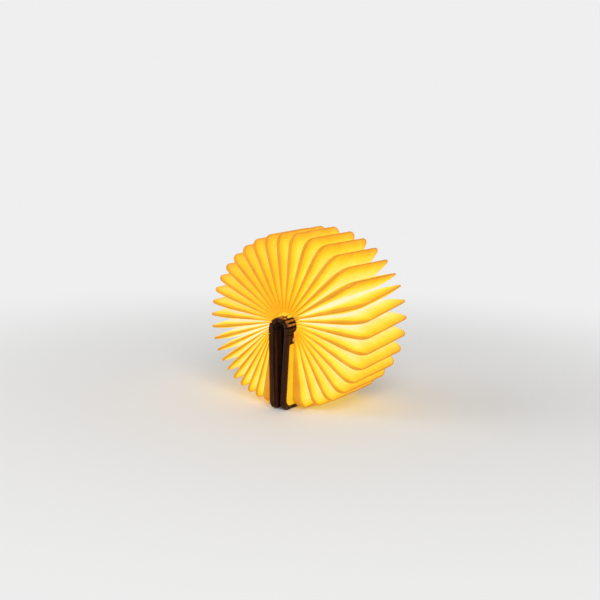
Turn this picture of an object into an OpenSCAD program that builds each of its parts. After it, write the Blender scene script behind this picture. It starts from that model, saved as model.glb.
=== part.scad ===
// Folding book lamp, opened right round: two walnut covers stand back to back on their fore-edges,
// a slotted wooden spine bends over them, and the paper leaves fan out from one cover to the other.
// Frame: Z up, the spine along Y, the photographed end at -Y, the floor at Z = 0.

/* [Covers and spine] */
// Height of the book, along its spine
book_h = 122; // [100:1:160]
// Length of each cover, from its last bend line to its fore-edge
cover_len = 84.6; // [78:0.2:96]
// Thickness of the walnut board
board_t = 5; // [4.6:0.1:5.4]
// Radius of the two corners at a cover's fore-edge
corner_r = 10; // [4:1:14]
// Lean of each standing cover towards the other
cover_lean = 2.2; // [1:0.1:3]
// Radius to the middle of the board where the spine bends
bend_r = 9.2; // [8.8:0.1:10]

/* [Slots in the spine] */
// Width of a slot, which lets the slats turn
slot_w = 1.5; // [1.4:0.05:1.7]
// Length of a wooden bridge between two slots of a row
bridge_len = 3; // [2:0.5:5]
// Radius of the rounded tongue on which a bridge bends
tongue_r = 2; // [1.7:0.1:2.1]
// Rows of slots that run past the bend into each cover
still_rows = 2; // [0:1:2]

/* [Leaves] */
// Number of double-sheet paper leaves
leaf_count = 36; // [24:1:36]
// Width of a leaf, from its root to its fore-edge
leaf_w = 79; // [70:0.5:80]
// Distance from a cover's head or tail to the leaves
leaf_inset = 9.5; // [5:0.5:15]
// Radius of a leaf's corners
leaf_r = 8; // [4:0.5:12]
// Thickness of a leaf pressed flat
leaf_t = 0.2; // [0.15:0.01:0.22]
// Angle from upright to the first and last leaf
fan_half = 172; // [165:1:174]
// Share by which the leaves crowd towards the rear cover
fan_crowding = 0.25; // [0:0.05:0.3]

/* [Electrics] */
// Length of the battery, along the spine
battery_len = 50; // [35:1:55]
// Width of the battery
battery_w = 34; // [25:1:36]
// Thickness of the battery
battery_t = 3; // [2.5:0.1:3.2]
// Number of light-emitting diodes on each strip
led_count = 12; // [6:1:16]
// Diameter of the cover magnets
magnet_d = 8; // [5:0.5:9]

/* [Hidden] */
$fn = 48;
hinge_count = 8;
side_slats = 3;
slat_count = 2 * side_slats + 1;
board_half = board_t / 2;
bend_open = (180 + 2 * cover_lean) / hinge_count;
slat_pitch = 2 * bend_r * tan(90 / hinge_count);
cover_turn = (side_slats + 1) * bend_open;
tongue_gap = 0.1;
tongue_end_gap = 0.15;
slot_pitch = book_h / 2;

// Bend lines, counted from the middle slat outwards, on the middle of the board
function bend_x(j) = slat_pitch / 2 + (j == 0 ? 0 : slat_pitch * sum_cos(j));
function bend_z(j) = j == 0 ? 0 : -slat_pitch * sum_sin(j);
function sum_cos(j) = j == 0 ? 0 : cos(j * bend_open) + sum_cos(j - 1);
function sum_sin(j) = j == 0 ? 0 : sin(j * bend_open) + sum_sin(j - 1);
hub_z = cover_len * sin(cover_turn) - board_half * cos(cover_turn) - bend_z(side_slats);

// Fan of leaves: the angle of each, then the point on the spine or cover where its root lies
root_share = 0.75;
root_slide = 0.35;
root_gap = 0.6;
root_gap_top = 3;
root_gap_power = 0.7;
spine_r = bend_r + board_half;
function leaf_step(i) = i / (leaf_count - 1);
function leaf_angle(i) = fan_half
    * (2 * (leaf_step(i) - fan_crowding * leaf_step(i) * (1 - leaf_step(i))) - 1);
function root_angle(i) = max(-90, min(90, root_share * leaf_angle(i)));
function root_drop(i) = max(0, abs(root_share * leaf_angle(i)) - 90) * PI / 180 * spine_r * root_slide;
function root_r(i) = spine_r + root_gap
    + root_gap_top * pow(1 - abs(leaf_angle(i)) / fan_half, root_gap_power);
function root_x(i) = root_r(i) * sin(root_angle(i)) - sign(leaf_angle(i)) * root_drop(i) * sin(cover_lean);
function root_z(i) = hub_z - bend_r + root_r(i) * cos(root_angle(i)) - root_drop(i);

// Places on a cover, measured from its bend line towards the fore-edge
strip_w = 4;
strip_t = 0.3;
led_w = 2.8;
led_len = 3.5;
led_t = 0.8;
strip_s = 13;
strip_len = book_h - 2 * leaf_inset;
groove_depth = 1.6;
groove_play = 0.4;
battery_s = 44;
battery_y = -14;
pocket_play = 0.5;
battery_pocket_depth = 3.4;
board_s = 33;
circuit_len = 20;
circuit_w = 30;
circuit_t = 0.5;
circuit_y = 38;
circuit_pocket_depth = 3.6;
socket_w = 9;
socket_h = 3.2;
socket_len = 7.5;
socket_wall = 0.3;
socket_back = 1;
contact_w = 6.2;
contact_t = 0.7;
magnet_t = 2;
magnet_s = cover_len - 9;
magnet_y = book_h / 2 - 16;
paper_t = 0.25;
paper_s = 17;
paper_inset = 4;
paper_corner_r = 2;
reed_d = 1.8;
reed_len = 10;
reed_s = 56;
reed_rise = 0.3;
lead_d = 1;
lead_apart = 1.6;
lead_start_y = battery_y + battery_len / 2;
lead_end_y = circuit_y - circuit_w / 2;
switch_magnet_d = 5;

function two_digits(n) = n < 10 ? str("0", n) : str(n);
function leaf_name(i) = str("leaf_", two_digits(i + 1));
function slat_name(k) = str("spine_slat_", k + side_slats + 1);
LEAVES = [for (i = [0 : leaf_count - 1]) leaf_name(i)];
SLATS = [for (k = [-side_slats : side_slats]) slat_name(k)];
FIXED = ["rear_cover", "front_cover", "rear_end_paper", "front_end_paper", "battery", "battery_leads",
    "circuit_board", "charging_socket", "reed_switch", "switch_magnet", "rear_magnets", "front_magnets",
    "rear_led_strip", "rear_leds", "front_led_strip", "front_leds"];

walnut = "#4a2c1a";
paper_glow = "#ffc53d";
copper_white = "#f2efe6";

// Puts a slat in its place on the arch: x along the board, z towards the leaves
module at_slat(k) {
    j = abs(k);
    x = j == 0 ? 0 : bend_x(j - 1) + slat_pitch / 2 * cos(j * bend_open);
    z = j == 0 ? 0 : bend_z(j - 1) - slat_pitch / 2 * sin(j * bend_open);
    translate([sign(k) * x, 0, hub_z + z])
        rotate([0, k * bend_open, 0])
            children();
}

// Puts a cover's pieces in place: x from its bend line to the fore-edge, z towards the leaves
module at_front_cover() {
    translate([bend_x(side_slats), 0, hub_z + bend_z(side_slats)])
        rotate([0, cover_turn, 0])
            children();
}

module at_rear_cover() {
    mirror([1, 0, 0])
        at_front_cover()
            children();
}

// A profile in x and z, drawn out along the spine about y = 0
module along_spine(length) {
    rotate([90, 0, 0])
        linear_extrude(height = length, center = true)
            children();
}

// Middles of the bridges of a row: an even row's slots run out at the ends of the spine, and an odd
// row has a bridge at each end and one in the middle
function bridge_places(row) = row % 2 == 0
    ? [-slot_pitch / 2, slot_pitch / 2]
    : [-slot_pitch + bridge_len / 2, 0, slot_pitch - bridge_len / 2];

// The rounded tongues of one row, standing out of the piece on the left of the bend line at x
module tongues(row, x) {
    for (y = bridge_places(row))
        translate([0, y, 0])
            along_spine(bridge_len) {
                translate([x, 0])
                    circle(r = tongue_r);
                translate([x - slot_w, -tongue_r])
                    square([slot_w, 2 * tongue_r]);
            }
}

// The seats of one row, cut out of the piece on the right of the bend line at x
module seats(row, x) {
    for (y = bridge_places(row))
        translate([x, y, 0])
            along_spine(bridge_len + 2 * tongue_end_gap)
                circle(r = tongue_r + tongue_gap);
}

// One slat between two bend lines of the spine, numbered from the rear cover
module spine_slat(k) {
    row = k + side_slats + 1;
    color(walnut)
        at_slat(k)
            difference() {
                union() {
                    cube([slat_pitch - slot_w, book_h, board_t], center = true);
                    tongues(row + 1, slat_pitch / 2);
                }
                seats(row, -slat_pitch / 2);
            }
}

// Rounded rectangle from x = 0 to length, centred on y = 0
module rounded_sheet(length, width, root_corner, edge_corner) {
    module side(x, r) {
        for (s = [-1, 1])
            translate([x, s * (width / 2 - r)])
                circle(r = r);
    }
    union() {
        side(root_corner, root_corner);
        side(length - edge_corner, edge_corner);
        translate([root_corner, -width / 2])
            square([length - root_corner - edge_corner, width]);
        translate([0, -width / 2 + root_corner])
            square([root_corner, width - 2 * root_corner]);
        translate([length - edge_corner, -width / 2 + edge_corner])
            square([edge_corner, width - 2 * edge_corner]);
    }
}

// A cover's walnut board, square at the spine and rounded at the fore-edge
module cover_board() {
    edge_s = slot_w / 2;
    translate([0, 0, -board_half])
        linear_extrude(height = board_t)
            union() {
                translate([edge_s, -book_h / 2])
                    square([cover_len - corner_r - edge_s, book_h]);
                translate([cover_len - corner_r, -book_h / 2 + corner_r])
                    square([corner_r, book_h - 2 * corner_r]);
                for (s = [-1, 1])
                    translate([cover_len - corner_r, s * (book_h / 2 - corner_r)])
                        circle(r = corner_r);
            }
}

// Rows of slots that run on past the bend line into the board, where nothing bends
module still_slots(first_row) {
    cut_w = slot_w / 2;
    for (n = [1 : still_rows]) {
        slot_middles = (first_row + n) % 2 == 0 ? [-1, 0, 1] : [-0.5, 0.5];
        for (m = slot_middles)
            translate([n * slat_pitch, m * slot_pitch, 0])
                cube([cut_w, slot_pitch - bridge_len, 2 * board_t], center = true);
    }
}

// Pocket sunk from the leaf side, centred at s from the bend line and y along the spine
module pocket(s, y, size_s, size_y, depth) {
    translate([s - size_s / 2, y - size_y / 2, board_half - depth])
        cube([size_s, size_y, depth + board_t]);
}

// What both covers have sunk in them: the light groove, the magnet pockets and the paper's bed
module shared_pockets() {
    pocket(strip_s, 0, strip_w + groove_play, strip_len + groove_play, groove_depth);
    for (s = [-1, 1])
        translate([magnet_s, s * magnet_y, board_half - magnet_t - paper_t])
            cylinder(d = magnet_d + groove_play, h = board_t);
    translate([0, 0, board_half - paper_t])
        linear_extrude(height = board_t)
            paper_outline(groove_play / 2);
}

// Outline of an end paper, or of its bed with some play all round
module paper_outline(play) {
    translate([paper_s - play, 0])
        rounded_sheet(cover_len - paper_s - paper_inset + 2 * play,
            book_h - 2 * paper_inset + 2 * play, paper_corner_r, corner_r - paper_corner_r);
}

// Cover that carries the battery and the circuit board
module rear_cover() {
    color(walnut)
        at_rear_cover()
            difference() {
                union() {
                    cover_board();
                    cover_tongues();
                }
                still_slots(0);
                shared_pockets();
                pocket(battery_s, battery_y, battery_w + 2 * pocket_play,
                    battery_len + 2 * pocket_play, battery_pocket_depth);
                pocket(board_s, circuit_y, circuit_len + 2 * pocket_play,
                    circuit_w + 2 * pocket_play, circuit_pocket_depth);
                pocket(board_s, book_h / 2, socket_w + 2 * pocket_play,
                    2 * (socket_len + pocket_play), circuit_pocket_depth);
                pocket(reed_s, circuit_y, reed_d + pocket_play, reed_len + 2 * pocket_play, battery_pocket_depth);
                lead_channels();
            }
}

// Tongues on the rear cover's bend line, which face the first slat
module cover_tongues() {
    for (y = bridge_places(1))
        translate([0, y, 0])
            along_spine(bridge_len) {
                circle(r = tongue_r);
                translate([0, -tongue_r])
                    square([slot_w, 2 * tongue_r]);
            }
}

// Cover that carries the switch's magnet
module front_cover() {
    color(walnut)
        at_front_cover()
            difference() {
                cover_board();
                seats(hinge_count, 0);
                still_slots(hinge_count);
                shared_pockets();
                translate([reed_s, circuit_y, board_half - magnet_t - paper_t])
                    cylinder(d = switch_magnet_d + groove_play, h = board_t);
            }
}

// End papers, let into the boards over the pockets
module end_paper() {
    color("#e9d9b0")
        translate([0, 0, board_half - paper_t])
            linear_extrude(height = paper_t)
                paper_outline(0);
}

// Channels for the leads from the battery to the circuit board, and on to the light strip
module lead_channels() {
    strip_gap = board_s - circuit_len / 2 - strip_s;
    pocket(board_s, (lead_start_y + lead_end_y) / 2, 4 * lead_d,
        lead_end_y - lead_start_y + 2 * pocket_play + 1, 2 * lead_d + paper_t);
    pocket(strip_s + strip_gap / 2, circuit_y, strip_gap, 4 * lead_d, groove_depth);
}

// Battery in its pocket
module battery() {
    color("silver")
        at_rear_cover()
            translate([battery_s, battery_y, board_half - battery_pocket_depth + battery_t / 2])
                pouch_cell();
}

// Pouch cell with rounded long edges and a folded seam at the lead end
module pouch_cell() {
    seam_len = 2;
    seam_t = 0.8;
    edge_r = battery_t / 2;
    along_spine(battery_len - 2 * seam_len) {
        square([battery_w - battery_t, battery_t], center = true);
        for (s = [-1, 1])
            translate([s * (battery_w / 2 - edge_r), 0])
                circle(r = edge_r);
    }
    translate([0, battery_len / 2 - seam_len, 0])
        cube([battery_w - 2 * battery_t, 2 * seam_len, seam_t], center = true);
}

// Two leads side by side
module battery_leads() {
    color("crimson")
        at_rear_cover()
            for (s = [-1, 1])
                translate([board_s + s * lead_apart / 2, (lead_start_y + lead_end_y) / 2,
                    board_half - paper_t - lead_d])
                    rotate([90, 0, 0])
                        cylinder(d = lead_d, h = lead_end_y - lead_start_y - 0.2, center = true);
}

// Circuit board with its charging chip, driver chip and coil, each given as [s, y, length, width, height]
CHIPS = [[-3.5, -3.5, 5, 5, 0.9], [5, -5, 4, 6, 0.9], [-5.5, 5.5, 3, 3, 1.8]];
module circuit_board() {
    color("darkgreen")
        at_rear_cover()
            translate([board_s, circuit_y, board_half - circuit_pocket_depth]) {
                translate([0, 0, circuit_t / 2])
                    cube([circuit_len, circuit_w, circuit_t], center = true);
                for (chip = CHIPS)
                    translate([chip[0], chip[1], circuit_t + chip[4] / 2 - 0.1])
                        cube([chip[2], chip[3], chip[4] + 0.2], center = true);
            }
}

// Charging socket with its oval mouth in the far end of the rear cover, and the contact tongue in it
module charging_socket() {
    lip_z = board_half - circuit_pocket_depth + socket_h / 2;
    color("silver")
        at_rear_cover()
            translate([board_s, book_h / 2 - socket_len / 2, lip_z])
                difference() {
                    along_spine(socket_len)
                        socket_oval(0);
                    translate([0, socket_back, 0])
                        along_spine(socket_len)
                            difference() {
                                socket_oval(socket_wall);
                                square([contact_w, contact_t], center = true);
                            }
                }
}

// Oval of the socket's shell, or of its mouth when inset by the wall
module socket_oval(inset) {
    r = socket_h / 2 - inset;
    square([socket_w - socket_h, 2 * r], center = true);
    for (s = [-1, 1])
        translate([s * (socket_w - socket_h) / 2, 0])
            circle(r = r);
}

// Glass switch that the magnet in the other cover closes and opens
module reed_switch() {
    color("#c8d8d0")
        at_rear_cover()
            translate([reed_s, circuit_y, board_half - battery_pocket_depth + reed_d / 2 + reed_rise])
                rotate([90, 0, 0])
                    cylinder(d = reed_d, h = reed_len, center = true);
}

// Disc magnet just under the end paper
module magnet(s, y, d) {
    translate([s, y, board_half - paper_t - magnet_t])
        cylinder(d = d, h = magnet_t);
}

module cover_magnets() {
    color("silver")
        for (s = [-1, 1])
            magnet(magnet_s, s * magnet_y, magnet_d);
}

module switch_magnet() {
    color("silver")
        at_front_cover()
            magnet(reed_s, circuit_y, switch_magnet_d);
}

// Flexible strip on the floor of the light groove, and the diodes in a row on it
module led_strip() {
    color(copper_white)
        translate([strip_s - strip_w / 2, -strip_len / 2, board_half - groove_depth])
            cube([strip_w, strip_len, strip_t]);
}

module leds() {
    step = strip_len / led_count;
    color("gold")
        for (n = [0 : led_count - 1])
            translate([strip_s - led_w / 2, (n + 0.5) * step - strip_len / 2 - led_len / 2,
                board_half - groove_depth + strip_t])
                cube([led_w, led_len, led_t]);
}

// One double-sheet leaf, flat and thin, standing out from its root at its own angle
module leaf(i) {
    color(paper_glow)
        translate([root_x(i), 0, root_z(i)])
            rotate([0, leaf_angle(i) - 90, 0])
                translate([0, 0, -leaf_t / 2])
                    linear_extrude(height = leaf_t)
                        rounded_sheet(leaf_w, book_h - 2 * leaf_inset, leaf_r, leaf_r);
}

rear_cover();
front_cover();
at_rear_cover() end_paper();  // rear_end_paper
at_front_cover() end_paper();  // front_end_paper
battery();
battery_leads();
circuit_board();
charging_socket();
reed_switch();
switch_magnet();
at_rear_cover() cover_magnets();  // rear_magnets
at_front_cover() cover_magnets();  // front_magnets
at_rear_cover() led_strip();  // rear_led_strip
at_rear_cover() leds();  // rear_leds
at_front_cover() led_strip();  // front_led_strip
at_front_cover() leds();  // front_leds
for (k = [-side_slats : side_slats])
    spine_slat(k);
for (i = [0 : leaf_count - 1])
    leaf(i);
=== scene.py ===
import math
import bpy
import bmesh
import numpy as np
from mathutils import Matrix, Vector


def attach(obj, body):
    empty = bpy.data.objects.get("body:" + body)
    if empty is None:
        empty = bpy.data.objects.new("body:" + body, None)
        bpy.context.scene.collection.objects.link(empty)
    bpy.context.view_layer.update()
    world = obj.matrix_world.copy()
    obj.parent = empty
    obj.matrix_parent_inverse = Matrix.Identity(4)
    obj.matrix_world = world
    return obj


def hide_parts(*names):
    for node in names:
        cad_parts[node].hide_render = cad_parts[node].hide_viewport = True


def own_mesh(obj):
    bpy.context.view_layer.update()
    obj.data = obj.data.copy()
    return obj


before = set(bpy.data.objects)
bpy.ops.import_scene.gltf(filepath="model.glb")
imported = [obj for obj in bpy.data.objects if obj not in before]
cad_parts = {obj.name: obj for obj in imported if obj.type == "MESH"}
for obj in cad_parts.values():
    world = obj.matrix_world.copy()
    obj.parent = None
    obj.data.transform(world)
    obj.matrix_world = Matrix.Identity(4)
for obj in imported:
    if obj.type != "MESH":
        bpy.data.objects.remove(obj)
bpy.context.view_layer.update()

scene = bpy.context.scene
scene.view_settings.view_transform = "Standard"

# Camera
# It stands before the near end of the spine and a little to the front cover's side. Its place was
# worked out from the cover edges and the leaf tips, and its picture is 600 by 600 pixels.
picture_pixels = 600
focal_pixels = 1215.3
sensor_width = 36.0
camera_at = Vector((0.5975, -1.0801, 0.3179))
camera_yaw = math.radians(29.39)
camera_down = math.radians(9.85)
camera_roll = math.radians(1.36)
camera_data = bpy.data.cameras.new("camera")
camera_data.sensor_width = sensor_width
camera_data.lens = sensor_width * focal_pixels / picture_pixels
camera_data.clip_end = 100
camera = bpy.data.objects.new("camera", camera_data)
scene.collection.objects.link(camera)
camera.matrix_world = (Matrix.Translation(camera_at) @ Matrix.Rotation(camera_yaw, 4, "Z")
                       @ Matrix.Rotation(math.pi / 2 - camera_down, 4, "X")
                       @ Matrix.Rotation(camera_roll, 4, "Z"))
scene.camera = camera

# Walnut boards and spine
# Both covers and the slotted spine are one walnut board, oiled. The grain runs from fore-edge to
# fore-edge, over the spine, with growth rings, dark pores and paler streaks.
arch_z = 0.0829
slat_count = 7
middle_slat = 4
whole_bend = math.radians(184.4)
bend_step = whole_bend / (slat_count + 1)


def add(tree, kind, place=(0, 0), **values):
    """A node of that kind in the tree, with its sockets or settings given by name."""
    made = tree.nodes.new(kind)
    made.location = place
    for name, value in values.items():
        if hasattr(made, name):
            setattr(made, name, value)
        else:
            made.inputs[name.replace("_", " ")].default_value = value
    return made


def join(tree, start, end):
    """Wires one socket to another."""
    tree.links.new(start, end)


def calc(tree, place, operation, *values):
    """The result of a maths node on those sockets or numbers."""
    made = add(tree, "ShaderNodeMath", place, operation=operation)
    for socket, value in zip(made.inputs, values):
        if isinstance(value, bpy.types.NodeSocket):
            join(tree, value, socket)
        else:
            socket.default_value = value
    return made.outputs[0]


def new_material(name, roughness):
    """A material with its Principled shader, and the material's tree."""
    material = bpy.data.materials.new(name)
    material.use_nodes = True
    shader = material.node_tree.nodes["Principled BSDF"]
    shader.inputs["Roughness"].default_value = roughness
    return material, material.node_tree, shader


def ramp(tree, place, value, stops):
    """The colour that a ramp with the given (position, colour) stops makes of a value."""
    made = add(tree, "ShaderNodeValToRGB", place)
    bar = made.color_ramp
    while len(bar.elements) < len(stops):
        bar.elements.new(0.5)
    for element, (position, colour) in zip(bar.elements, stops):
        element.position = position
        element.color = (*colour, 1)
    join(tree, value, made.inputs["Fac"])
    return made.outputs["Color"]


def grain_group():
    """Walnut grain drawn out along the last axis: tone from streaks and rings, and open pores."""
    tree = bpy.data.node_groups.new("walnut_grain", "ShaderNodeTree")
    tree.interface.new_socket("Vector", in_out="INPUT", socket_type="NodeSocketVector")
    tree.interface.new_socket("Tone", in_out="OUTPUT", socket_type="NodeSocketFloat")
    tree.interface.new_socket("Pore", in_out="OUTPUT", socket_type="NodeSocketFloat")
    start = add(tree, "NodeGroupInput", (-900, 0))
    end = add(tree, "NodeGroupOutput", (500, 0))
    wide = add(tree, "ShaderNodeMapping", (-650, 200), Scale=(190, 190, 8))
    rings = add(tree, "ShaderNodeMapping", (-650, 0), Scale=(30, 30, 3.2))
    fine = add(tree, "ShaderNodeMapping", (-650, -250), Scale=(1900, 1900, 75))
    streak = add(tree, "ShaderNodeTexNoise", (-350, 200), Scale=1.0, Detail=6.0, Distortion=0.8)
    ring = add(tree, "ShaderNodeTexWave", (-350, 0), bands_direction="Y", Scale=1.4,
               Distortion=7.0, Detail=3.0, Detail_Scale=0.7)
    pore = add(tree, "ShaderNodeTexNoise", (-350, -250), Scale=1.0, Detail=3.0)
    for mapping, texture in ((wide, streak), (rings, ring), (fine, pore)):
        join(tree, start.outputs["Vector"], mapping.inputs["Vector"])
        join(tree, mapping.outputs["Vector"], texture.inputs["Vector"])
    ring_share = 0.28
    tone = calc(tree, (100, 150), "MULTIPLY_ADD", ring.outputs["Fac"], ring_share, streak.outputs["Fac"])
    join(tree, tone, end.inputs["Tone"])
    join(tree, pore.outputs["Fac"], end.inputs["Pore"])
    return tree


def around_spine_group():
    """Where a point lies around the arch of the bent spine: its reach from the middle line of the
    arch, and its rise above and its place beside that line, as shares of the reach."""
    tree = bpy.data.node_groups.new("around_spine", "ShaderNodeTree")
    tree.interface.new_socket("Vector", in_out="INPUT", socket_type="NodeSocketVector")
    for name in ("Reach", "Rise", "Aside"):
        tree.interface.new_socket(name, in_out="OUTPUT", socket_type="NodeSocketFloat")
    start = add(tree, "NodeGroupInput", (-900, 0))
    end = add(tree, "NodeGroupOutput", (300, 0))
    split = add(tree, "ShaderNodeSeparateXYZ", (-700, 0))
    join(tree, start.outputs["Vector"], split.inputs[0])
    lift = calc(tree, (-500, -100), "SUBTRACT", split.outputs["Z"], arch_z)
    flat = add(tree, "ShaderNodeCombineXYZ", (-300, 0))
    join(tree, split.outputs["X"], flat.inputs["X"])
    join(tree, lift, flat.inputs["Z"])
    distance = add(tree, "ShaderNodeVectorMath", (-150, 0), operation="LENGTH")
    join(tree, flat.outputs[0], distance.inputs[0])
    reach = distance.outputs["Value"]
    join(tree, reach, end.inputs["Reach"])
    join(tree, calc(tree, (50, -100), "DIVIDE", lift, reach), end.inputs["Rise"])
    join(tree, calc(tree, (50, -250), "DIVIDE", split.outputs["X"], reach), end.inputs["Aside"])
    return tree


grain = grain_group()
around_spine = around_spine_group()


def walnut(name, turn=(0, 0, 0)):
    """Oiled walnut, with the grain turned by that many radians."""
    material, tree, shader = new_material(name, 0.55)
    shader.inputs["Specular IOR Level"].default_value = 0.12
    place = add(tree, "ShaderNodeTexCoord", (-1200, 0))
    turned = add(tree, "ShaderNodeMapping", (-1000, 0), Rotation=turn)
    wood = add(tree, "ShaderNodeGroup", (-800, 0), name="wood", node_tree=grain)
    join(tree, place.outputs["Object"], turned.inputs["Vector"])
    join(tree, turned.outputs["Vector"], wood.inputs["Vector"])
    tones = ramp(tree, (-500, 150), wood.outputs["Tone"],
                 [(0.34, (0.012, 0.0030, 0.0010)), (0.52, (0.036, 0.0100, 0.0030)),
                  (0.68, (0.064, 0.0195, 0.0060)), (0.86, (0.120, 0.0420, 0.0140))])
    pores = ramp(tree, (-500, -150), wood.outputs["Pore"],
                 [(0.37, (0.30, 0.30, 0.30)), (0.50, (1, 1, 1))])
    sheen = ramp(tree, (-500, -400), wood.outputs["Pore"],
                 [(0.35, (0.72, 0.72, 0.72)), (0.60, (0.50, 0.50, 0.50))])
    pored = add(tree, "ShaderNodeMix", (-200, 100), data_type="RGBA", blend_type="MULTIPLY")
    pored.inputs[0].default_value = 0.85
    bump = add(tree, "ShaderNodeBump", (-200, -200), Strength=0.30, Distance=0.0004)
    join(tree, tones, pored.inputs[6])
    join(tree, pores, pored.inputs[7])
    join(tree, pored.outputs[2], shader.inputs["Base Color"])
    join(tree, sheen, shader.inputs["Roughness"])
    join(tree, wood.outputs["Pore"], bump.inputs["Height"])
    join(tree, bump.outputs["Normal"], shader.inputs["Normal"])
    return material


def paint_glow_on_outer_face(material):
    """Paints an orange glow of the lamp's light, as emission, on the outer face of a slat, close to the
    light strips.
    """
    side_r, face_r = 0.0104, 0.0117
    tree = material.node_tree
    shader = tree.nodes["Principled BSDF"]
    place = add(tree, "ShaderNodeTexCoord", (-1000, 600))
    around = add(tree, "ShaderNodeGroup", (-700, 600), node_tree=around_spine)
    lit = add(tree, "ShaderNodeMapRange", (-400, 600), From_Min=side_r, From_Max=face_r)
    tones = ramp(tree, (-400, 400), tree.nodes["wood"].outputs["Tone"],
                 [(0.34, (0.13, 0.030, 0.003)), (0.68, (0.34, 0.105, 0.012)),
                  (0.86, (0.55, 0.210, 0.030))])
    # Painted glow of the lamp's light on the outer face only, following the grain's tones
    painted_glow = add(tree, "ShaderNodeMix", (0, 500), data_type="RGBA", blend_type="MULTIPLY")
    painted_glow.inputs[0].default_value = 1.0
    join(tree, place.outputs["Object"], around.inputs["Vector"])
    join(tree, around.outputs["Reach"], lit.inputs["Value"])
    join(tree, tones, painted_glow.inputs[6])
    join(tree, lit.outputs[0], painted_glow.inputs[7])
    join(tree, painted_glow.outputs[2], shader.inputs["Emission Color"])
    shader.inputs["Emission Strength"].default_value = 1.0


def dress(node, material):
    """Gives a CAD piece its finish."""
    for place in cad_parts[node].material_slots:
        place.material = material


cover_walnut = walnut("cover_walnut")
for cover in ("rear_cover", "front_cover"):
    dress(cover, cover_walnut)
for number in range(1, slat_count + 1):
    tilt = (number - middle_slat) * bend_step
    slat_walnut = walnut(f"slat_walnut_{number}", (0, math.pi / 2 - tilt, 0))
    # Painted glow: the lamp's light on the slat's outer face
    paint_glow_on_outer_face(slat_walnut)
    dress(f"spine_slat_{number}", slat_walnut)

# Light strips
# A white flexible strip in a groove of each cover, with warm light-emitting diodes soldered on it
# and a yellow drop of phosphor over each.


def variation_group():
    """Cloudy and fine unevenness of a surface, for finishes without a grain."""
    tree = bpy.data.node_groups.new("fine_variation", "ShaderNodeTree")
    tree.interface.new_socket("Vector", in_out="INPUT", socket_type="NodeSocketVector")
    tree.interface.new_socket("Cloud", in_out="OUTPUT", socket_type="NodeSocketFloat")
    tree.interface.new_socket("Fine", in_out="OUTPUT", socket_type="NodeSocketFloat")
    start = add(tree, "NodeGroupInput", (-600, 0))
    end = add(tree, "NodeGroupOutput", (200, 0))
    cloud = add(tree, "ShaderNodeTexNoise", (-300, 150), Scale=1.0, Detail=4.0, Roughness=0.6)
    fine = add(tree, "ShaderNodeTexNoise", (-300, -150), Scale=14.0, Detail=3.0)
    join(tree, start.outputs["Vector"], cloud.inputs["Vector"])
    join(tree, start.outputs["Vector"], fine.inputs["Vector"])
    join(tree, cloud.outputs["Fac"], end.inputs["Cloud"])
    join(tree, fine.outputs["Fac"], end.inputs["Fine"])
    return tree


variation = variation_group()


def finish(name, dark, light, rough, metal=0.0, scale=(150, 150, 150), bump_height=0.00005):
    """A finish that wavers between two colours and two sheens, with a fine bump."""
    material, tree, shader = new_material(name, rough)
    shader.inputs["Metallic"].default_value = metal
    place = add(tree, "ShaderNodeTexCoord", (-1000, 0))
    sized = add(tree, "ShaderNodeMapping", (-800, 0), Scale=scale)
    uneven = add(tree, "ShaderNodeGroup", (-600, 0), node_tree=variation)
    join(tree, place.outputs["Object"], sized.inputs["Vector"])
    join(tree, sized.outputs["Vector"], uneven.inputs["Vector"])
    tones = ramp(tree, (-350, 150), uneven.outputs["Cloud"], [(0.35, dark), (0.65, light)])
    sheen = add(tree, "ShaderNodeMapRange", (-350, -100), From_Min=0.3, From_Max=0.7,
                To_Min=rough * 0.8, To_Max=min(1.0, rough * 1.25))
    bump = add(tree, "ShaderNodeBump", (-350, -400), Strength=0.5, Distance=bump_height)
    join(tree, uneven.outputs["Fine"], sheen.inputs["Value"])
    join(tree, uneven.outputs["Fine"], bump.inputs["Height"])
    join(tree, tones, shader.inputs["Base Color"])
    join(tree, sheen.outputs[0], shader.inputs["Roughness"])
    join(tree, bump.outputs["Normal"], shader.inputs["Normal"])
    return material


strip_white = finish("strip_white", (0.66, 0.63, 0.56), (0.80, 0.78, 0.72), 0.45)
phosphor = finish("phosphor", (0.62, 0.34, 0.05), (0.76, 0.48, 0.10), 0.35, scale=(900, 900, 900))
shader = phosphor.node_tree.nodes["Principled BSDF"]
shader.inputs["Emission Color"].default_value = (1.0, 0.50, 0.10, 1)
shader.inputs["Emission Strength"].default_value = 0.35
for side in ("rear", "front"):
    dress(f"{side}_led_strip", strip_white)
    dress(f"{side}_leds", phosphor)

# Electrics and magnets
# Battery, circuit board, switch and magnets lie in pockets of the boards under end papers, and the
# charging socket opens in the far end edge of the rear cover.
dress("battery", finish("pouch_foil", (0.50, 0.51, 0.53), (0.68, 0.69, 0.71), 0.32, 0.9,
                        bump_height=0.0003))
dress("battery_leads", finish("lead_insulation", (0.36, 0.012, 0.012), (0.52, 0.03, 0.03), 0.38))
dress("circuit_board", finish("solder_mask", (0.010, 0.085, 0.030), (0.025, 0.17, 0.06), 0.42,
                              scale=(420, 420, 420)))
dress("charging_socket", finish("drawn_steel", (0.42, 0.43, 0.45), (0.60, 0.61, 0.63), 0.30, 1.0,
                                scale=(900, 60, 900)))
dress("reed_switch", finish("reed_glass", (0.40, 0.56, 0.52), (0.60, 0.74, 0.70), 0.12))
nickel = finish("nickel_plate", (0.60, 0.59, 0.56), (0.74, 0.73, 0.71), 0.20, 1.0,
                scale=(300, 300, 300))
for node in ("switch_magnet", "rear_magnets", "front_magnets"):
    dress(node, nickel)

# Leaves
# Thirty-six paper pockets, each of two sheets sealed along the head, fore-edge and tail. The light
# inside makes them glow, and the sheets of neighbours lie against each other near the spine.
leaf_count = 36
fore_corner_r = 0.014
root_corner_r = 0.003
seam_half = 0.00018
seam_width = 0.0006
rim_width = 0.009
unsealed_part = 0.04
sheet_gap = 0.00020
leaf_segments = (36, 44)
rim_crowding = 0.68
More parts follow.
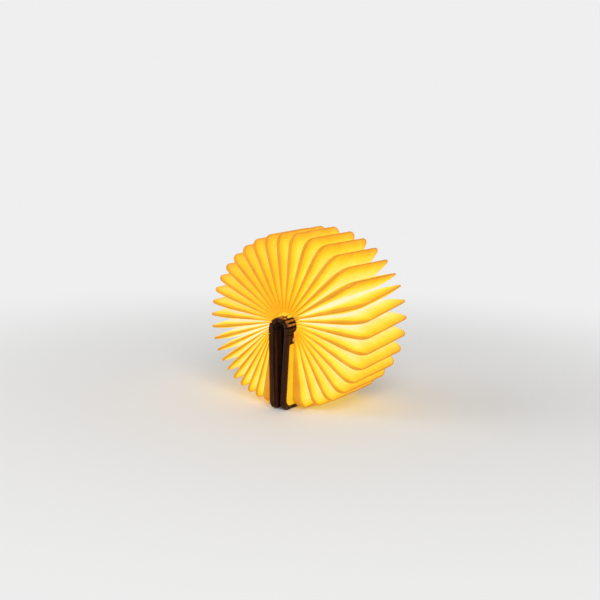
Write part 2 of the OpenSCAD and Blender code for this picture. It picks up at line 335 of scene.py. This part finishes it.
# Share of the width over which a pocket is full, and how squarely it is full towards its two ends,
# beside another leaf and beside a board
touching_part, touching_board = 0.60, 0.80
squareness, squareness_board = 4.6, 60
# Bows of the free rims, uneven from leaf to leaf
bow_sizes, bow_turns = (0.0007, 0.0004), (2.4, 5.1)
# From this leaf on the near ends lean clockwise, in degrees, less with each leaf towards the cover,
# and open a wide gap before it. The few leaves before it lean more with their far ends.
first_leaning = 27
near_lean, lean_step = 6.9, 0.58
leaves_before = 5
near_lean_before, far_lean_before = 1.4, 3.2


def leaf_lie(node):
    """A leaf's root point, its direction away from the spine, its normal, its width and length."""
    points = np.array([v.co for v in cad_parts[node].data.vertices])
    middle = (points.max(axis=0) + points.min(axis=0)) / 2
    flat = points[:, (0, 2)] - middle[[0, 2]]
    spread, axes = np.linalg.eigh(flat.T @ flat)
    away = axes[:, 1]
    if away @ (middle[[0, 2]] - np.array((0, arch_z))) < 0:
        away = -away
    width = np.ptp(flat @ away)
    length = np.ptp(points[:, 1])
    root = middle[[0, 2]] - away * width / 2
    return (Vector((root[0], 0, root[1])), Vector((away[0], 0, away[1])),
            Vector((away[1], 0, -away[0])), width, length)


lies = [leaf_lie(f"leaf_{number:02d}") for number in range(1, leaf_count + 1)]


def board_face(cover, side):
    """The leaf side of a cover's board: its normal and its distance from the origin."""
    lean = (whole_bend - math.pi) / 2
    normal = Vector((side * math.cos(lean), 0, -math.sin(lean)))
    return normal, max(normal.dot(v.co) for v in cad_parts[cover].data.vertices)


rear_face = board_face("rear_cover", -1)
front_face = board_face("front_cover", 1)


def lean_of(number, along):
    """The lean of a leaf in radians, from its near end, at along 0, to its far end, at 1. The
    covers, before the first leaf and after the last, have none."""
    if not first_leaning - leaves_before <= number <= leaf_count:
        return 0.0
    if number < first_leaning:
        near, far = near_lean_before, far_lean_before
    else:
        near, far = near_lean - lean_step * (number - first_leaning), 0.0
    return math.radians(near + (far - near) * along)


def room_beside(number, toward, s, along):
    """Free half gap at s from the spine, between a leaf and what lies next to it on that side."""
    lie = lies[number - 1]
    point = lie[0] + lie[1] * s
    opened = toward * s * (lean_of(number + toward, along) - lean_of(number, along))
    if 1 <= number + toward <= leaf_count:
        other = lies[number + toward - 1]
        return 0.5 * (abs((point - other[0]).dot(other[2])) + opened)
    normal, offset = rear_face if toward < 0 else front_face
    return normal.dot(point) - offset - sheet_gap + opened


def to_rim(t, segments, half_size):
    """Place of a grid line at t from -1 to 1: they crowd towards the rims, and the last line
    before each rim is the inner edge of the seam."""
    step = 2 / segments
    if abs(1 - abs(t) - step) < step / 2:
        return math.copysign(half_size - seam_width, t)
    return (rim_crowding * math.sin(t * math.pi / 2) + (1 - rim_crowding) * t) * half_size


def leaf_mesh(number):
    """The pocket's closed mesh: a grid rounded at its corners, thickened, then puffed out."""
    root, away, normal, width, length = lies[number - 1]
    made = bmesh.new()
    bmesh.ops.create_grid(made, x_segments=leaf_segments[0], y_segments=leaf_segments[1], size=1)
    seam = made.verts.layers.float.new("seam")
    rim = made.verts.layers.float.new("rim")
    valley = made.verts.layers.float.new("valley")
    sheets = bmesh.ops.extrude_face_region(made, geom=made.faces[:])
    lifted = {v for v in sheets["geom"] if isinstance(v, bmesh.types.BMVert)}
    sway = sum(size * math.sin(turn * number + shift)
               for shift, (size, turn) in enumerate(zip(bow_sizes, bow_turns)))
    for v in made.verts:
        toward = 1 if v in lifted else -1
        s = width / 2 + to_rim(v.co.x, leaf_segments[0], width / 2)
        y = to_rim(v.co.y, leaf_segments[1], length / 2)
        # Square corners drawn in to round ones
        corner_r = fore_corner_r if s > width / 2 else root_corner_r
        in_s = max(corner_r - s, s - (width - corner_r), 0) / corner_r
        in_y = max(abs(y) - (length / 2 - corner_r), 0) / corner_r
        edge = min(width - s, length / 2 - abs(y))
        if in_s > 0 and in_y > 0:
            edge = corner_r * (1 - max(in_s, in_y))
            pull = max(in_s, in_y) / math.hypot(in_s, in_y)
            s += (pull - 1) * in_s * corner_r * (1 if s > width / 2 else -1)
            y += (pull - 1) * in_y * corner_r * math.copysign(1, y)
        # Puffed half thickness on this side
        along = y / length + 0.5
        room = room_beside(number, toward, s, along)
        share = s / width
        at_board = not 1 <= number + toward <= leaf_count
        touching = touching_board if at_board else touching_part
        fade = 1.0 if share < touching else 1 - ((share - touching) / (1 - touching)) ** 2
        across = abs(2 * y / length)
        ends = math.sqrt(max(0.0, 1 - across ** (squareness_board if at_board else squareness)))
        puff = max(0.0, fade) * ends
        half = seam_half + max(0.0, room - sheet_gap / 2 - seam_half) * puff
        v[seam] = 1.0 if edge < 1.2 * seam_width and share > unsealed_part else 0.0
        v[rim] = max(0.0, 1 - edge / rim_width)
        v[valley] = puff
        bow = sway * math.sin(math.pi * share) * (1 - across ** 2)
        lean = lean_of(number, along)
        outward = away * math.cos(lean) + normal * math.sin(lean)
        beside = normal * math.cos(lean) - away * math.sin(lean)
        v.co = root + outward * s + Vector((0, y, 0)) + beside * (toward * half + bow * (1 - puff))
    bmesh.ops.recalc_face_normals(made, faces=made.faces[:])
    for face in made.faces:
        face.smooth = True
    mesh = bpy.data.meshes.new(f"paper_leaf_{number:02d}")
    made.to_mesh(mesh)
    made.free()
    return mesh


def eased(tree, place, value, start, end, to_start=0.0, to_end=1.0):
    """A smooth step that a value makes between start and end."""
    made = add(tree, "ShaderNodeMapRange", place, interpolation_type="SMOOTHSTEP",
               From_Min=start, From_Max=end, To_Min=to_start, To_Max=to_end)
    join(tree, value, made.inputs["Value"])
    return made.outputs[0]


def colour_mix(tree, place, share, first, colour):
    """A colour that turns to a fixed second one by that share."""
    made = add(tree, "ShaderNodeMix", place, data_type="RGBA")
    made.inputs[7].default_value = (*colour, 1)
    join(tree, share, made.inputs[0])
    join(tree, first, made.inputs[6])
    return made.outputs[2]


def paper(name, warmth, strength):
    """Paper with the light of the strips painted on as emission, from that least warmth: painted light
    paler half way out and low in the fan, white-hot deep in the valleys between two leaves, amber at the
    rims and brown along the seams."""
    material, tree, shader = new_material(name, 0.62)
    shader.inputs["Specular IOR Level"].default_value = 0.25
    place = add(tree, "ShaderNodeTexCoord", (-2000, 0))
    around = add(tree, "ShaderNodeGroup", (-1800, 0), node_tree=around_spine)
    join(tree, place.outputs["Object"], around.inputs["Vector"])
    reach, rise, aside = (around.outputs[part] for part in ("Reach", "Rise", "Aside"))
    rim = add(tree, "ShaderNodeAttribute", (-1000, -450), attribute_name="rim").outputs["Fac"]
    valley = add(tree, "ShaderNodeAttribute", (-1000, -650), attribute_name="valley").outputs["Fac"]
    seam = add(tree, "ShaderNodeAttribute", (-200, -250), attribute_name="seam").outputs["Fac"]
    cloud = add(tree, "ShaderNodeTexNoise", (-800, -900), Scale=48.0, Detail=5.0, Roughness=0.6)
    fibre = add(tree, "ShaderNodeTexNoise", (-800, -1100), Scale=1500.0, Detail=3.0)
    crease = add(tree, "ShaderNodeTexNoise", (-800, -1300), Scale=130.0, Detail=3.0, Distortion=1.5)
    for texture in (cloud, fibre, crease):
        join(tree, place.outputs["Object"], texture.inputs["Vector"])

    # Painted light, paler away from the root and the fore-edge, and low in the fan
    outward = eased(tree, (-1000, 100), reach, 0.004, 0.028)
    inward = eased(tree, (-1000, 350), reach, 0.100, 0.076)
    low = eased(tree, (-1000, -150), rise, 1.05, -0.10, 0.45, 1.0)
    middle = calc(tree, (-800, 200), "MULTIPLY", outward, inward)
    pale = calc(tree, (-650, 100), "MULTIPLY", middle, low)
    # Painted light: hot valleys, and the hottest where the light of the strips gets out sideways
    deep = calc(tree, (-800, -650), "POWER", valley, 2.0)
    hot = calc(tree, (-650, -550), "MULTIPLY", deep, inward)
    shaft_rise = calc(tree, (-1150, 900), "MULTIPLY_ADD", aside, 0.25, 0.13)
    off_shaft = calc(tree, (-1100, 800), "SUBTRACT", rise, shaft_rise)
    level = calc(tree, (-950, 800), "ABSOLUTE", off_shaft)
    sideways = eased(tree, (-800, 800), level, 0.50, 0.08)
    near = eased(tree, (-1000, 1000), reach, 0.084, 0.056)
    shaft = calc(tree, (-600, 900), "MULTIPLY", sideways, near)
    hottest = calc(tree, (-450, -550), "MULTIPLY", deep, shaft)
    warm = calc(tree, (-450, 100), "MULTIPLY_ADD", pale, 0.28, warmth)
    shares = ((hot, 0.20), (hottest, 0.50), (rim, -0.36), (cloud.outputs["Fac"], 0.24))
    for turn, (value, share) in enumerate(shares):
        warm = calc(tree, (150 * turn - 300, 0), "MULTIPLY_ADD", value, share, warm)
    glow = ramp(tree, (200, 100), warm,
                [(0.04, (0.86, 0.24, 0.002)), (0.24, (0.98, 0.42, 0.004)),
                 (0.42, (1.0, 0.64, 0.010)), (0.60, (1.0, 0.82, 0.050)),
                 (0.80, (0.98, 0.95, 0.22)), (1.0, (1.0, 1.0, 0.75))])
    # Painted shade: a duller glow on sheets high on the rear cover's side, far from the light strips
    corner = calc(tree, (-1000, 600), "SUBTRACT", rise, aside)
    painted_shade = eased(tree, (-800, 600), corner, 0.75, 1.45, 0.0, 0.30)
    shaded_glow = colour_mix(tree, (450, 200), painted_shade, glow, (0.70, 0.33, 0.012))
    # Seam lines, browner in the painted glow, fainter near the spine
    far_out = add(tree, "ShaderNodeMapRange", (-200, -450), From_Min=0.012, From_Max=0.040,
                  To_Min=0.45, To_Max=0.95)
    join(tree, reach, far_out.inputs["Value"])
    line = calc(tree, (0, -300), "MULTIPLY", seam, far_out.outputs[0])
    seamed = colour_mix(tree, (650, 100), line, shaded_glow, (0.52, 0.135, 0.001))
    join(tree, seamed, shader.inputs["Emission Color"])
    shader.inputs["Emission Strength"].default_value = strength
    # Base colour amber like the lit paper instead of the unlit paper's white: painted light
    glow_tinted_base = ramp(tree, (450, -150), cloud.outputs["Fac"],
               [(0.3, (0.44, 0.215, 0.012)), (0.7, (0.56, 0.31, 0.020))])
    join(tree, glow_tinted_base, shader.inputs["Base Color"])
    creased = calc(tree, (300, -500), "MULTIPLY_ADD", crease.outputs["Fac"], 2.5, fibre.outputs["Fac"])
    bump = add(tree, "ShaderNodeBump", (500, -500), Strength=0.22, Distance=0.0005)
    join(tree, creased, bump.inputs["Height"])
    join(tree, bump.outputs["Normal"], shader.inputs["Normal"])
    return material


leaf_paper = paper("leaf_paper", 0.35, 0.64)
end_paper = paper("end_paper", 0.02, 0.50)
dress("rear_end_paper", end_paper)
dress("front_end_paper", end_paper)
for number in range(1, leaf_count + 1):
    node = f"leaf_{number:02d}"
    paper_leaf = bpy.data.objects.new(f"paper_{node}", leaf_mesh(number))
    scene.collection.objects.link(paper_leaf)
    paper_leaf.data.materials.append(leaf_paper)
    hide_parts(node)
    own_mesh(paper_leaf)
    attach(paper_leaf, node)

# Root folds
# Along the top of the bent spine the leaves' paper is gathered into soft folds and pasted down, one
# fold on each of the middle slats.
fold_half_width = 0.0011
fold_length = 0.1026
fold_base = 0.0117
fold_top = 0.0141
fold_foot = 0.00005
fold_side_fall, fold_end_fall = 0.35, 0.12
for slat in (3, 4, 5):
    tilt = (slat - middle_slat) * bend_step
    fold = bmesh.new()
    bmesh.ops.create_grid(fold, x_segments=8, y_segments=40, size=1)
    sides = bmesh.ops.extrude_face_region(fold, geom=fold.faces[:])
    lifted = {v for v in sides["geom"] if isinstance(v, bmesh.types.BMVert)}
    out = Vector((math.sin(tilt), 0, math.cos(tilt)))
    along = Vector((math.cos(tilt), 0, -math.sin(tilt)))
    for v in fold.verts:
        fullness = (1 - fold_side_fall * v.co.x ** 2) * (1 - fold_end_fall * v.co.y ** 8)
        height = (fold_top - fold_base) * fullness if v in lifted else fold_foot
        spot = along * (v.co.x * fold_half_width) + out * (fold_base + height)
        v.co = Vector((spot.x, v.co.y * fold_length / 2, spot.z + arch_z))
    bmesh.ops.recalc_face_normals(fold, faces=fold.faces[:])
    for face in fold.faces:
        face.smooth = True
    fold_mesh = bpy.data.meshes.new(f"root_fold_{slat}")
    fold.to_mesh(fold_mesh)
    fold.free()
    root_fold = bpy.data.objects.new(f"root_fold_{slat}", fold_mesh)
    scene.collection.objects.link(root_fold)
    fold_mesh.materials.append(leaf_paper)
    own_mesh(root_fold)
    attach(root_fold, f"spine_slat_{slat}")

# Floor and light
# A plain pale floor that runs into the pale background, one broad soft lamp at the front cover's
# side, a weaker one at the other side, and an even pale surround.
background = 0.86
floor_half = 20
floor_mesh = bmesh.new()
bmesh.ops.create_grid(floor_mesh, x_segments=1, y_segments=1, size=floor_half)
floor_data = bpy.data.meshes.new("floor")
floor_mesh.to_mesh(floor_data)
floor_mesh.free()
floor = bpy.data.objects.new("floor", floor_data)
scene.collection.objects.link(floor)
floor_paint, tree, shader = new_material("floor_paint", 0.7)
shader.inputs["Base Color"].default_value = (0.80, 0.79, 0.77, 1)
shader.inputs["Specular IOR Level"].default_value = 0.2
# Away from the lamp the floor fades to the background's own tone
fade_from, fade_to = 0.16, 0.75
place = add(tree, "ShaderNodeTexCoord", (-900, 0))
distance = add(tree, "ShaderNodeVectorMath", (-700, 0), operation="LENGTH")
join(tree, place.outputs["Object"], distance.inputs[0])
away = eased(tree, (-500, 0), distance.outputs["Value"], fade_from, fade_to)
rays = add(tree, "ShaderNodeLightPath", (-700, 300))
faded = calc(tree, (-300, 100), "MULTIPLY", away, rays.outputs["Is Camera Ray"])
plain = add(tree, "ShaderNodeEmission", (-100, -200), Color=(1, 1, 1, 1), Strength=background)
mixed = add(tree, "ShaderNodeMixShader", (200, 0))
join(tree, faded, mixed.inputs[0])
join(tree, shader.outputs[0], mixed.inputs[1])
join(tree, plain.outputs[0], mixed.inputs[2])
join(tree, mixed.outputs[0], tree.nodes["Material Output"].inputs["Surface"])
floor_data.materials.append(floor_paint)

lit_point = Vector((0, 0, 0.08))
for name, at, size, watts in (("key", (1.1, -1.5, 1.3), 1.1, 22), ("fill", (-1.5, -0.9, 1.1), 1.4, 11)):
    lamp_data = bpy.data.lights.new(name, "AREA")
    lamp_data.size = size
    lamp_data.energy = watts
    lamp = bpy.data.objects.new(name, lamp_data)
    lamp.location = at
    lamp.rotation_euler = (lit_point - Vector(at)).to_track_quat("-Z", "Y").to_euler()
    scene.collection.objects.link(lamp)

world = bpy.data.worlds.new("surround")
scene.world = world
world.use_nodes = True
tree = world.node_tree
surround = tree.nodes["Background"]
surround.inputs["Color"].default_value = (0.95, 0.97, 1.0, 1)
surround.inputs["Strength"].default_value = 0.55
shown = add(tree, "ShaderNodeBackground", (0, -200), Color=(1, 1, 1, 1), Strength=background)
rays = add(tree, "ShaderNodeLightPath", (-400, 300))
seen = calc(tree, (-200, 300), "MAXIMUM", rays.outputs["Is Camera Ray"], rays.outputs["Is Glossy Ray"])
seen = calc(tree, (0, 300), "MAXIMUM", seen, rays.outputs["Is Transmission Ray"])
mixed = add(tree, "ShaderNodeMixShader", (200, 0))
join(tree, seen, mixed.inputs[0])
join(tree, surround.outputs[0], mixed.inputs[1])
join(tree, shown.outputs[0], mixed.inputs[2])
join(tree, mixed.outputs[0], tree.nodes["World Output"].inputs["Surface"])
